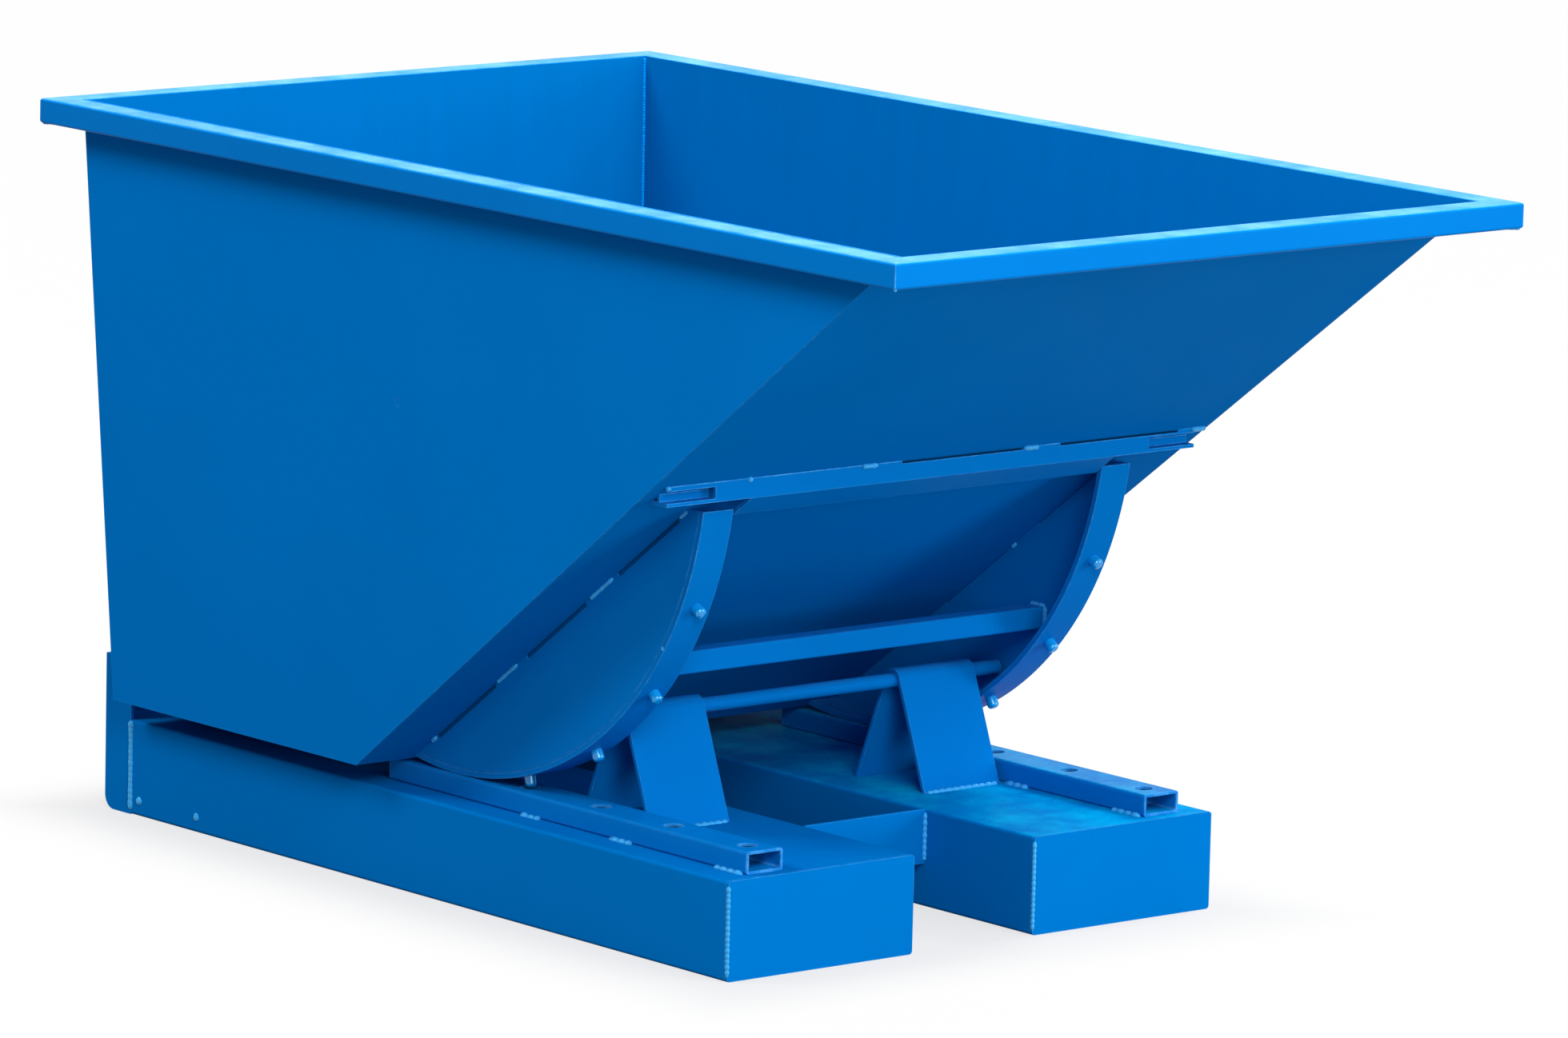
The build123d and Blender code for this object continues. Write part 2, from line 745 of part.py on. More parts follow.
# Round plugs on the roll axis, flush in the two side walls
plug_middle = wall_half_top - side_lean * (wall_top - rocker_centre_z) - side_sheet * hypot(1, side_lean) / 2
plug_half = side_sheet / 2 - plug_recess
with BuildPart() as roll_axis_plugs:
    for side, sign in SIDES:
        with BuildSketch(Plane.YZ.offset(sign * plug_middle)):
            with Locations((rocker_contact, rocker_centre_z)):
                Circle(plug_radius)
        extrude(amount=plug_half, both=True)
roll_axis_plugs.part.label = "roll_axis_plugs"
export_step(roll_axis_plugs.part, "parts/roll_axis_plugs.step")

# How far the bin can tip before the bands' hollow side meets the stop bar
stop_reach = band_hollow_radius - stop_bar_radius - rocker_rail_gap
stop_fall = rocker_centre_z - stop_bar_height
stop_run = (stop_reach**2 - stop_fall**2) ** 0.5
tip_limit = (stop_run + rocker_contact - stop_bar_position) / rocker_radius
print(f"roll axis at y {rocker_contact:.2f}, z {rocker_centre_z:.2f}, radius {rocker_radius:.2f}")
print(f"tip limit {degrees(tip_limit):.2f} degrees, roll {tip_limit * rocker_radius:.2f}")
print(f"latch pivot at y {pivot_y:.2f}, z {pivot_z:.2f}, web top {web_top:.2f}")
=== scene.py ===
import math
import random

import bmesh
import bpy
from mathutils import Matrix, Vector


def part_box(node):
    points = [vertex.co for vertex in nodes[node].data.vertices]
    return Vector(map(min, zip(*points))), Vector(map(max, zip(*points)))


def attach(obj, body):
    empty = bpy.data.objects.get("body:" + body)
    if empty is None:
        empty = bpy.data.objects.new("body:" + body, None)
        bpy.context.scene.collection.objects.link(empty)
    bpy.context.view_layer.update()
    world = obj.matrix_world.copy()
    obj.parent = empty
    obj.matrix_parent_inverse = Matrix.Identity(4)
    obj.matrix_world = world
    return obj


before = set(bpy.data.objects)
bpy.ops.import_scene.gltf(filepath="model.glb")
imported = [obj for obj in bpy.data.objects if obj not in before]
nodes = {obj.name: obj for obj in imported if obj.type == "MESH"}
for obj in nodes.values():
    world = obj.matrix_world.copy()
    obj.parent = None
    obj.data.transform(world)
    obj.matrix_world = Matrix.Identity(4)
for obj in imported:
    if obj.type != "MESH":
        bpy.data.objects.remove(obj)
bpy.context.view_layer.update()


# Fork pockets: two long boxes folded from 5 mm plate, open at the back for the forks of a lift truck.
# An end plate is welded over the front of each, and the bead along its left edge was left unground.
# They carry the whole hopper, and are sprayed in one coat of satin blue with the rest of it.
BLUE = (0.0, 0.152, 0.50, 1.0)
BLUE_GLINT = (0.0, 0.34, 1.0, 1.0)
# Weld beads are paler than the paint: thin paint on them, and a painted highlight on their ripples.
WELD_BLUE_AND_HIGHLIGHT = (0.04, 0.34, 0.70, 1.0)
# Pale blue for edges: thin or rubbed paint, and a painted highlight of the light the edges catch.
THIN_BLUE_AND_HIGHLIGHT = (0.10, 0.42, 0.85, 1.0)
# Pale tint for upward faces: dust, and where laid on thickly a painted highlight of light on the tops.
PALE_DUST_AND_HIGHLIGHT = (0.14, 0.40, 0.62, 1.0)
# Cyan tint for pocket, rail and frame tops: a little dust, and on the right pocket and rail painted
# light from the right.
POCKET_DUST_AND_LIGHT_BLUE = (0.0, 0.50, 0.80, 1.0)
POCKET_TOP_DUST_AND_LIGHT = {"left": 0.06, "right": 0.8}
MIX_FACTOR = 0
MIX_FIRST = 6
MIX_SECOND = 7
MIX_RESULT = 2
PEEL_DEPTH = 0.05
BEAD_SIDES = 10
RINGS_PER_RIPPLE = 6
FEWEST_RINGS = 8
RIPPLE_SWELL = (0.9, 1.08)
RIPPLE_ROUND = 0.7
BEAD_END = 1.1
POCKET_EASE = 0.0008
END_BEAD = 0.0030
END_BEAD_SINK = 0.0014
END_BEAD_STOP = 0.006
END_RIPPLE = 2.4
END_DIP = 0.4


def add(tree, kind, inputs=None, **settings):
    """Puts a node in a tree, sets it up, and links or fills its inputs."""
    node = tree.nodes.new(kind)
    for key, value in settings.items():
        setattr(node, key, value)
    for key, value in (inputs or {}).items():
        if isinstance(value, bpy.types.NodeSocket):
            tree.links.new(value, node.inputs[key])
        else:
            node.inputs[key].default_value = value
    return node


def new_group(name, wants, gives):
    """An empty shader group with named sockets, and its inner ends."""
    group = bpy.data.node_groups.new(name, "ShaderNodeTree")
    for label, kind in wants:
        group.interface.new_socket(label, in_out="INPUT", socket_type=kind)
    for label, kind in gives:
        group.interface.new_socket(label, in_out="OUTPUT", socket_type=kind)
    inside = group.nodes.new("NodeGroupInput")
    outside = group.nodes.new("NodeGroupOutput")
    return group, inside.outputs, outside.inputs


def spread(tree, value, low, high, start=0.0, end=1.0):
    """A map range node's result, from low and high to start and end."""
    node = add(
        tree,
        "ShaderNodeMapRange",
        {"Value": value, "From Min": low, "From Max": high, "To Min": start, "To Max": end},
    )
    return node.outputs[0]


def reckon(tree, operation, *values):
    """A math node's result."""
    return add(tree, "ShaderNodeMath", dict(enumerate(values)), operation=operation).outputs[0]


def cloud(tree, place, scale, detail, roughness=0.5):
    """A noise texture's value."""
    node = add(
        tree,
        "ShaderNodeTexNoise",
        {"Vector": place, "Scale": scale, "Detail": detail, "Roughness": roughness},
    )
    return node.outputs[0]


def blended(tree, mask, first, second):
    """Two colours mixed by a mask."""
    node = add(
        tree,
        "ShaderNodeMix",
        {MIX_FACTOR: mask, MIX_FIRST: first, MIX_SECOND: second},
        data_type="RGBA",
    )
    return node.outputs[MIX_RESULT]


def make_paint_film():
    """Sprayed paint: a slow drift of tone, a patchy sheen, orange peel and the wave of sheet steel."""
    group, wants, gives = new_group(
        "paint_film",
        [
            ("Paint", "NodeSocketColor"),
            ("Drift", "NodeSocketFloat"),
            ("Sheen", "NodeSocketFloat"),
            ("Wave", "NodeSocketFloat"),
        ],
        [("Color", "NodeSocketColor"), ("Roughness", "NodeSocketFloat"), ("Height", "NodeSocketFloat")],
    )
    place = add(group, "ShaderNodeTexCoord").outputs["Object"]
    darkest = reckon(group, "SUBTRACT", 1.0, wants["Drift"])
    lightest = reckon(group, "ADD", 1.0, wants["Drift"])
    slow = cloud(group, place, scale=2.6, detail=4.0, roughness=0.6)
    tone = spread(group, slow, low=0.3, high=0.7, start=darkest, end=lightest)
    shade = add(group, "ShaderNodeHueSaturation", {"Color": wants["Paint"], "Value": tone})
    blotches = cloud(group, place, scale=19.0, detail=3.0, roughness=0.65)
    patchy = spread(group, blotches, low=0.3, high=0.7, start=-0.05, end=0.07)
    peel = reckon(group, "MULTIPLY", cloud(group, place, scale=160.0, detail=2.0), PEEL_DEPTH)
    buckle = cloud(group, place, scale=3.2, detail=1.0)
    swell = reckon(group, "MULTIPLY_ADD", buckle, wants["Wave"], peel)
    group.links.new(shade.outputs["Color"], gives["Color"])
    group.links.new(reckon(group, "ADD", wants["Sheen"], patchy), gives["Roughness"])
    group.links.new(swell, gives["Height"])
    return group


def make_edge_wear_and_highlight():
    """Edges: thin or rubbed paint, and a painted highlight of the light they catch, broken up to come
    and go.
    """
    group, wants, gives = new_group(
        "edge_wear_and_highlight",
        [("Reach", "NodeSocketFloat"), ("Cover", "NodeSocketFloat")],
        [("Mask", "NodeSocketFloat")],
    )
    place = add(group, "ShaderNodeTexCoord").outputs["Object"]
    rounded = add(group, "ShaderNodeBevel", {"Radius": wants["Reach"]}, samples=6)
    flat = add(group, "ShaderNodeNewGeometry")
    facing = add(
        group,
        "ShaderNodeVectorMath",
        {0: rounded.outputs["Normal"], 1: flat.outputs["Normal"]},
        operation="DOT_PRODUCT",
    )
    near = spread(group, facing.outputs["Value"], low=0.99, high=0.84)
    flecks = cloud(group, place, scale=75.0, detail=5.0, roughness=0.7)
    broken = spread(group, flecks, low=0.42, high=0.62, start=0.25, end=1.0)
    mask = reckon(group, "MULTIPLY", reckon(group, "MULTIPLY", near, broken), wants["Cover"])
    group.links.new(mask, gives["Mask"])
    return group


def make_dust_and_top_light_mask():
    """A fine dusting on the faces that look up at rest, and at higher amounts a painted highlight on
    those tops.
    """
    group, wants, gives = new_group(
        "dust_and_top_light_mask", [("Amount", "NodeSocketFloat")], [("Mask", "NodeSocketFloat")]
    )
    where = add(group, "ShaderNodeTexCoord")
    turn = add(group, "ShaderNodeSeparateXYZ", {"Vector": where.outputs["Normal"]})
    upward = spread(group, turn.outputs["Z"], low=0.55, high=0.95)
    drifts = cloud(group, where.outputs["Object"], scale=11.0, detail=6.0, roughness=0.7)
    patchy = spread(group, drifts, low=0.4, high=0.75, start=0.15, end=1.0)
    mask = reckon(group, "MULTIPLY", reckon(group, "MULTIPLY", upward, patchy), wants["Amount"])
    group.links.new(mask, gives["Mask"])
    return group


paint_film = make_paint_film()
edge_wear_and_highlight = make_edge_wear_and_highlight()
dust_and_top_light_mask = make_dust_and_top_light_mask()


def painted_steel(
    name,
    paint=BLUE,
    glint=BLUE_GLINT,
    sheen=0.36,
    drift=0.04,
    wave=0.5,
    edge_wear_and_light=0.6,
    reach=0.0026,
    dust_and_top_light=0.1,
    top_tint=PALE_DUST_AND_HIGHLIGHT,
    relief=0.25,
    gloss=1.06,
    inward=None,
):
    """Paint on steel, with the shared effects at this piece's own strengths."""
    material = bpy.data.materials.new(name)
    material.use_nodes = True
    tree = material.node_tree
    shader = tree.nodes["Principled BSDF"]
    film = add(tree, "ShaderNodeGroup", node_tree=paint_film)
    film.inputs["Paint"].default_value = paint
    film.inputs["Drift"].default_value = drift
    film.inputs["Sheen"].default_value = sheen
    film.inputs["Wave"].default_value = wave
    colour = film.outputs["Color"]
    # Inner faces darkened: painted shade inside the bin, in streaks.
    if inward:
        inside_shade = add(tree, "ShaderNodeGroup", node_tree=inside_shade_and_scuffs)
        inside_shade.inputs["Inward"].default_value = inward
        colour = blended(tree, inside_shade.outputs["Mask"], colour, INSIDE_SHADE_BLUE)
    # Edges turn pale: rubbed paint, and a painted highlight.
    if edge_wear_and_light:
        edge_mask = add(tree, "ShaderNodeGroup", node_tree=edge_wear_and_highlight)
        edge_mask.inputs["Reach"].default_value = reach
        edge_mask.inputs["Cover"].default_value = edge_wear_and_light
        colour = blended(tree, edge_mask.outputs["Mask"], colour, THIN_BLUE_AND_HIGHLIGHT)
    # Upward faces turn paler: dust, and at higher amounts a painted highlight.
    if dust_and_top_light:
        top_paling = add(tree, "ShaderNodeGroup", node_tree=dust_and_top_light_mask)
        top_paling.inputs["Amount"].default_value = dust_and_top_light
        colour = blended(tree, top_paling.outputs["Mask"], colour, top_tint)
    bump = add(
        tree,
        "ShaderNodeBump",
        {"Strength": relief, "Distance": 0.002, "Height": film.outputs["Height"]},
    )
    tree.links.new(colour, shader.inputs["Base Color"])
    tree.links.new(film.outputs["Roughness"], shader.inputs["Roughness"])
    tree.links.new(bump.outputs["Normal"], shader.inputs["Normal"])
    shader.inputs["IOR"].default_value = gloss
    shader.inputs["Specular Tint"].default_value = glint
    return material


def finish_node(node, material, ease=0.0):
    """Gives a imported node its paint, and takes the sharpness off its edges as thick paint does."""
    piece = nodes[node]
    piece.material_slots[0].material = material
    closed = piece.modifiers.new("closed_seams", "WELD")
    closed.merge_threshold = 0.00001
    if ease:
        eased = piece.modifiers.new("eased_edges", "BEVEL")
        eased.width = ease
        eased.segments = 2
        eased.loop_slide = False
        eased.limit_method = "ANGLE"
        eased.angle_limit = math.radians(38)
    evened = piece.modifiers.new("even_shading", "WEIGHTED_NORMAL")
    evened.keep_sharp = True


def lay_welds(name, runs, radius, body, seed, material, pitch=1.5, dip=0.2, flat=1.0):
    """One mesh of rippled weld beads, each along its run of points, riding on a body."""
    draw = random.Random(seed)
    ripple = pitch * radius
    step = ripple / RINGS_PER_RIPPLE
    turns = [2 * math.pi * k / BEAD_SIDES for k in range(BEAD_SIDES)]
    mesh = bmesh.new()
    for run in runs:
        points = [Vector(point) for point in run]
        spans = [(b - a).length for a, b in zip(points, points[1:])]
        total = sum(spans)
        rings = max(FEWEST_RINGS, round(total / step))
        swells = [draw.uniform(*RIPPLE_SWELL) for _ in range(int(total / ripple) + 3)]
        drift = draw.uniform(0, 1)
        laid = []
        for index in range(rings + 1):
            along = total * index / rings
            left = along
            leg = 0
            while leg < len(spans) - 1 and left > spans[leg]:
                left -= spans[leg]
                leg += 1
            tangent = (points[leg + 1] - points[leg]).normalized()
            centre = points[leg] + tangent * left
            helper = Vector((1, 0, 0)) if abs(tangent.z) > 0.9 else Vector((0, 0, 1))
            side = tangent.cross(helper).normalized()
            up = side.cross(tangent)
            beat = along / ripple + drift
            share = beat - math.floor(beat)
            scale = 1 - dip + dip * math.sin(math.pi * share) ** RIPPLE_ROUND
            scale *= swells[int(beat)]
            end = min(1.0, min(along, total - along) / (BEAD_END * radius))
            scale *= math.sqrt(max(0.0, end * (2 - end)))
            if index in (0, rings):
                laid.append([mesh.verts.new(centre)])
                continue
            around = [side * math.cos(turn) + up * math.sin(turn) * flat for turn in turns]
            laid.append([mesh.verts.new(centre + outward * radius * scale) for outward in around])
        for ring, after in zip(laid, laid[1:]):
            for k in range(BEAD_SIDES):
                n = (k + 1) % BEAD_SIDES
                if len(ring) == 1:
                    mesh.faces.new((ring[0], after[n], after[k]))
                elif len(after) == 1:
                    mesh.faces.new((ring[k], ring[n], after[0]))
                else:
                    mesh.faces.new((ring[k], ring[n], after[n], after[k]))
    bmesh.ops.recalc_face_normals(mesh, faces=mesh.faces)
    data = bpy.data.meshes.new(name)
    mesh.to_mesh(data)
    mesh.free()
    for face in data.polygons:
        face.use_smooth = True
    beads = bpy.data.objects.new(name, data)
    bpy.context.scene.collection.objects.link(beads)
    data.materials.append(material)
    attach(beads, body)
    return beads


weld_paint = painted_steel(
    "weld_paint", paint=WELD_BLUE_AND_HIGHLIGHT, sheen=0.2, drift=0.15, wave=0.0, edge_wear_and_light=0.0, dust_and_top_light=0.0, gloss=1.5
)
end_runs = []
# The left and right pockets differ only in how pale their tops are painted: painted light on the right.
for side, top_paling in POCKET_TOP_DUST_AND_LIGHT.items():
    pocket_paint = painted_steel(
        f"pocket_paint_{side}", sheen=0.38, edge_wear_and_light=0.4, dust_and_top_light=top_paling, top_tint=POCKET_DUST_AND_LIGHT_BLUE, gloss=1.02
    )
    finish_node(f"fork_pocket_{side}", pocket_paint)
    finish_node(f"pocket_end_{side}", pocket_paint, POCKET_EASE)
    low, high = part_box(f"pocket_end_{side}")
    edge = (low.x + END_BEAD_SINK, low.y + END_BEAD_SINK)
    end_runs.append([(*edge, low.z + END_BEAD_STOP), (*edge, high.z - END_BEAD_STOP)])
lay_welds(
    "pocket_end_welds",
    end_runs,
    END_BEAD,
    "base",
    seed=11,
    material=weld_paint,
    pitch=END_RIPPLE,
    dip=END_DIP,
)


# Front cross plate: a flat bar welded upright between the pockets, flush with their tops.
# A coarse bead runs down each end of its front face.
PLATE_BEAD = 0.0042
PLATE_RIPPLE = 2.0
PLATE_DIP = 0.45
frame_paint = painted_steel("frame_paint", sheen=0.38, edge_wear_and_light=0.4, dust_and_top_light=0.2, top_tint=POCKET_DUST_AND_LIGHT_BLUE, gloss=1.03)
finish_node("front_cross_plate", frame_paint, POCKET_EASE)
low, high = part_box("front_cross_plate")
plate_runs = [[(x, low.y, low.z + PLATE_BEAD), (x, low.y, high.z - PLATE_BEAD)] for x in (low.x, high.x)]
lay_welds(
    "cross_plate_welds",
    plate_runs,
    PLATE_BEAD,
    "base",
    seed=12,
    material=weld_paint,
    pitch=PLATE_RIPPLE,
    dip=PLATE_DIP,
)


# Rear frame: one plate folded round the back of the pockets, with openings for the forks and a flange
# down each side. A slim seam joins each flange to its pocket, and two plug welds sit low on the wall.
SEAM_BEAD = 0.0052
SEAM_FLAT = 0.6
SEAM_SINK = 0.0005
SEAM_FOOT = 0.006
SEAM_TOP = 0.129
SEAM_BLOB = 0.0068
SEAM_BLOB_HEIGHTS = (0.0135, 0.1245)
PLUG_WELD = 0.0066
PLUG_WELD_FLAT = 0.55
PLUG_WELD_HEIGHT = 0.0215
PLUG_WELD_PLACES = (0.809, 0.677)
finish_node("rear_frame", frame_paint, POCKET_EASE)
low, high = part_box("rear_frame")
seam_runs = []
plug_runs = []
for wall, inward in ((low.x, 1), (high.x, -1)):
    seam = (wall + inward * SEAM_SINK, low.y)
    seam_runs.append([(*seam, SEAM_FOOT), (*seam, SEAM_TOP)])
    for height in SEAM_BLOB_HEIGHTS:
        plug_runs.append([(*seam, height - SEAM_BLOB), (*seam, height + SEAM_BLOB)])
    for place in PLUG_WELD_PLACES:
        face = wall + inward * SEAM_SINK
        plug_runs.append(
            [
                (face, place, PLUG_WELD_HEIGHT - PLUG_WELD),
                (face, place, PLUG_WELD_HEIGHT + PLUG_WELD),
            ]
        )
lay_welds("rear_seam_welds", seam_runs, SEAM_BEAD, "base", seed=13, material=weld_paint, flat=SEAM_FLAT)
lay_welds(
    "pocket_plug_welds", plug_runs, PLUG_WELD, "base", seed=14, material=weld_paint, flat=PLUG_WELD_FLAT
)


# Rails: 60 by 30 tubes stitched to the tops of the pockets, open at both ends.
# The holes in their tops take the studs of the rockers, and the rockers polish the top as they roll.
RAIL_EASE = 0.0006
RAIL_BEAD = 0.0048
RAIL_RIPPLE = 3.0
RAIL_DIP = 0.5
RAIL_BEAD_OUT = 0.0020
# The right rail's top is painted far paler than the left's, as painted light from the right; the wide
# edge mask paints a highlight on the rounded edges.
RAIL_TOP_DUST_AND_LIGHT = {"left": 0.06, "right": 0.7}
RAIL_STITCHES = ((0.018, -0.022), (-0.168, -0.214), (-0.384, -0.441))
for side, top_paling in RAIL_TOP_DUST_AND_LIGHT.items():
    rail_paint = painted_steel(
        f"rail_paint_{side}", sheen=0.3, edge_wear_and_light=1.0, reach=0.006, dust_and_top_light=top_paling, top_tint=POCKET_DUST_AND_LIGHT_BLUE
    )
    finish_node(f"rail_{side}", rail_paint, RAIL_EASE)
    low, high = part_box(f"rail_{side}")
    stitches = [
        [(x, start, low.z), (x, end, low.z)]
        for x in (low.x - RAIL_BEAD_OUT, high.x + RAIL_BEAD_OUT)
        for start, end in RAIL_STITCHES
    ]
    lay_welds(
        f"rail_welds_{side}",
        stitches,
        RAIL_BEAD,
        "base",
        seed=15,
        material=weld_paint,
        pitch=RAIL_RIPPLE,
        dip=RAIL_DIP,
    )


# Stop stands and stop bar: two plates bent over a round bar, with both feet welded to a pocket.
# The ends of the bar reach into the hollow of the rockers, so that the bin can't lift or overrun.
STAND_EASE = 0.0008
FOOT_BEAD = 0.0045
FOOT_RIPPLE = 2.6
FOOT_DIP = 0.55
stand_paint = painted_steel("stand_paint", sheen=0.4, edge_wear_and_light=0.6)
bar_paint = painted_steel("bar_paint", sheen=0.3, wave=0.0, edge_wear_and_light=0.3)
finish_node("stop_bar", bar_paint, RAIL_EASE)
for side in ("left", "right"):
    finish_node(f"stop_stand_{side}", stand_paint, STAND_EASE)
    low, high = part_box(f"stop_stand_{side}")
    feet = [[(low.x + FOOT_BEAD, y, low.z), (high.x - FOOT_BEAD, y, low.z)] for y in (low.y, high.y)]
    lay_welds(
        f"stand_welds_{side}",
        feet,
        FOOT_BEAD,
        "base",
        seed=16,
        material=weld_paint,
        pitch=FOOT_RIPPLE,
        dip=FOOT_DIP,
    )


# Rear rest: a tube laid across the pockets under the back of the bin, with two rubber pads on it.
# The pads are cut from ribbed black sheet and glued down.
REST_BEAD = 0.0028
REST_WELD_STOP = 0.02
RUBBER = (0.018, 0.018, 0.020, 1.0)
WORN_RUBBER = (0.075, 0.075, 0.078, 1.0)
BLOOM_SHARE = 0.5
RIB_SCALE = 40.0
PAD_EASE = 0.0008


def black_rubber(name):
    """Matte rubber with fine ribs and a grey bloom where it has rubbed."""
    material = bpy.data.materials.new(name)
    material.use_nodes = True
    tree = material.node_tree
    shader = tree.nodes["Principled BSDF"]
    place = add(tree, "ShaderNodeTexCoord").outputs["Object"]
    bloom = spread(tree, cloud(tree, place, scale=38.0, detail=5.0, roughness=0.65), low=0.45, high=0.75)
    edge_mask = add(tree, "ShaderNodeGroup", node_tree=edge_wear_and_highlight)
    edge_mask.inputs["Reach"].default_value = 0.0025
    edge_mask.inputs["Cover"].default_value = 0.7
    mask = reckon(tree, "MAXIMUM", reckon(tree, "MULTIPLY", bloom, BLOOM_SHARE), edge_mask.outputs["Mask"])
    ribs = add(
        tree,
        "ShaderNodeTexWave",
        {"Vector": place, "Scale": RIB_SCALE, "Distortion": 0.0},
        bands_direction="X",
    )
    bump = add(
        tree,
        "ShaderNodeBump",
        {"Strength": 0.6, "Distance": 0.001, "Height": ribs.outputs["Fac"]},
    )
    tree.links.new(blended(tree, mask, RUBBER, WORN_RUBBER), shader.inputs["Base Color"])
    dullness = spread(tree, bloom, low=0.0, high=1.0, start=0.62, end=0.85)
    tree.links.new(dullness, shader.inputs["Roughness"])
    tree.links.new(bump.outputs["Normal"], shader.inputs["Normal"])
    shader.inputs["Specular IOR Level"].default_value = 0.2
    return material


finish_node("rear_rest_tube", frame_paint, RAIL_EASE)
finish_node("rest_pads", black_rubber("pad_rubber"), PAD_EASE)
low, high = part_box("rear_rest_tube")
rest_runs = []
for side in ("left", "right"):
    pocket_low, pocket_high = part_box(f"fork_pocket_{side}")
    start = max(low.x, pocket_low.x) + REST_WELD_STOP
    end = min(high.x, pocket_high.x) - REST_WELD_STOP
    rest_runs += [[(start, y, low.z), (end, y, low.z)] for y in (low.y, high.y)]
lay_welds("rest_welds", rest_runs, REST_BEAD, "base", seed=17, material=weld_paint)


# Bin: two leaning sides, a back, a floor and a long slope, cut from 3 to 5 mm sheet and welded inside.
# The large sheets are a little wavy, and the slope's folded lip lies under the front rim tube.
SHEET_EASE = 0.0004
CORNER_BEAD = 0.0027
SHEET = 0.003
REAR_SHEET = 0.004
SLOPE_PITCH = math.radians(36.4)
# Darker blue for the inner faces of the bin: painted shade.
INSIDE_SHADE_BLUE = (0.0, 0.112, 0.31, 1.0)
CORNER_BLUE = (0.0, 0.24, 0.68, 1.0)
INWARD = {
    "bin_bottom": (0.0, 0.0, 1.0),
    "bin_rear_wall": (0.0, -1.0, 0.0),
    "bin_slope": (0.0, math.sin(SLOPE_PITCH), math.cos(SLOPE_PITCH)),
    "bin_side_left": (1.0, 0.0, 0.0),
    "bin_side_right": (-1.0, 0.0, 0.0),
}


def make_inside_shade_and_scuffs():
    """The inner face of a sheet, darkened as painted shade inside the bin, in streaks like those loads
    drag.
    """
    group, wants, gives = new_group(
        "inside_shade_and_scuffs", [("Inward", "NodeSocketVector")], [("Mask", "NodeSocketFloat")]
    )
    where = add(group, "ShaderNodeTexCoord")
    facing = add(
        group,
        "ShaderNodeVectorMath",
        {0: where.outputs["Normal"], 1: wants["Inward"]},
        operation="DOT_PRODUCT",
    )
    inner = spread(group, facing.outputs["Value"], low=0.3, high=0.7)
    drawn = add(
        group,
        "ShaderNodeMapping",
        {"Vector": where.outputs["Object"], "Scale": (26.0, 26.0, 3.0)},
    )
    dragged = cloud(group, drawn.outputs[0], scale=1.0, detail=5.0, roughness=0.65)
    streaks = spread(group, dragged, low=0.35, high=0.65, start=0.60, end=0.72)
    group.links.new(reckon(group, "MULTIPLY", inner, streaks), gives["Mask"])
    return group


inside_shade_and_scuffs = make_inside_shade_and_scuffs()
for node, inward in INWARD.items():
    sheet_paint = painted_steel(
        f"{node}_paint", sheen=0.4, drift=0.03, wave=1.0, edge_wear_and_light=0.35, gloss=1.02, inward=inward
    )
    finish_node(node, sheet_paint, SHEET_EASE)
side_low, side_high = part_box("bin_side_right")
back_low, back_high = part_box("bin_rear_wall")
floor_low, floor_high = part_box("bin_bottom")
wall_low_x = floor_high.x + SHEET
wall_lean = (side_high.x - wall_low_x) / (side_high.z - side_low.z)
back_lean = (back_high.y - floor_high.y) / (back_high.z - floor_high.z)


def wall_inside(z):
    """How far from the middle the inside of a side wall is at a height."""
    return wall_low_x + (z - side_low.z) * wall_lean - SHEET


def back_inside(z):
    """How far back the inside of the rear wall is at a height."""
    return floor_high.y + (z - floor_high.z) * back_lean - REAR_SHEET


slope_foot = floor_low.y
slope_foot_z = floor_low.z + SHEET / math.cos(SLOPE_PITCH)
slope_head_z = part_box("bin_slope")[1].z
slope_head = slope_foot - (slope_head_z - slope_foot_z) / math.tan(SLOPE_PITCH)
floor_z = floor_high.z
back_head_z = back_high.z - CORNER_BEAD
corner_runs = [
    [(-wall_inside(floor_z), slope_foot, floor_z), (wall_inside(floor_z), slope_foot, floor_z)],
    [
        (-wall_inside(floor_z), back_inside(floor_z), floor_z),
        (wall_inside(floor_z), back_inside(floor_z), floor_z),
    ],
]
for sign in (-1, 1):
    foot_x = sign * wall_inside(floor_z)
    slope_head_x = sign * wall_inside(slope_head_z)
    back_head_x = sign * wall_inside(back_head_z)
    corner_runs += [
        [(foot_x, back_inside(floor_z), floor_z), (back_head_x, back_inside(back_head_z), back_head_z)],
        [(foot_x, back_inside(floor_z), floor_z), (foot_x, slope_foot, floor_z)],
        [(foot_x, slope_foot, slope_foot_z), (slope_head_x, slope_head, slope_head_z)],
    ]
corner_paint = painted_steel(
    "corner_paint", paint=CORNER_BLUE, sheen=0.36, drift=0.1, wave=0.0, edge_wear_and_light=0.0, dust_and_top_light=0.0, gloss=1.2
)
lay_welds("bin_corner_welds", corner_runs, CORNER_BEAD, "bin", seed=18, material=corner_paint)


# Rim: four lengths of 42 by 34 tube round the mouth, mitred and welded at the corners.
# They stand against the outside of the sheets, with the front one on the slope's lip, and a smooth sunk
# bead fills the groove between the rounded tube and the sheet's upper edge.
MITRE_BEAD = 0.0022
MITRE_SINK = 0.0026
GROOVE_BEAD = 0.0021
GROOVE_SINK = 0.0025
GROOVE_RIPPLE = 9.0
GROOVE_DIP = 0.04
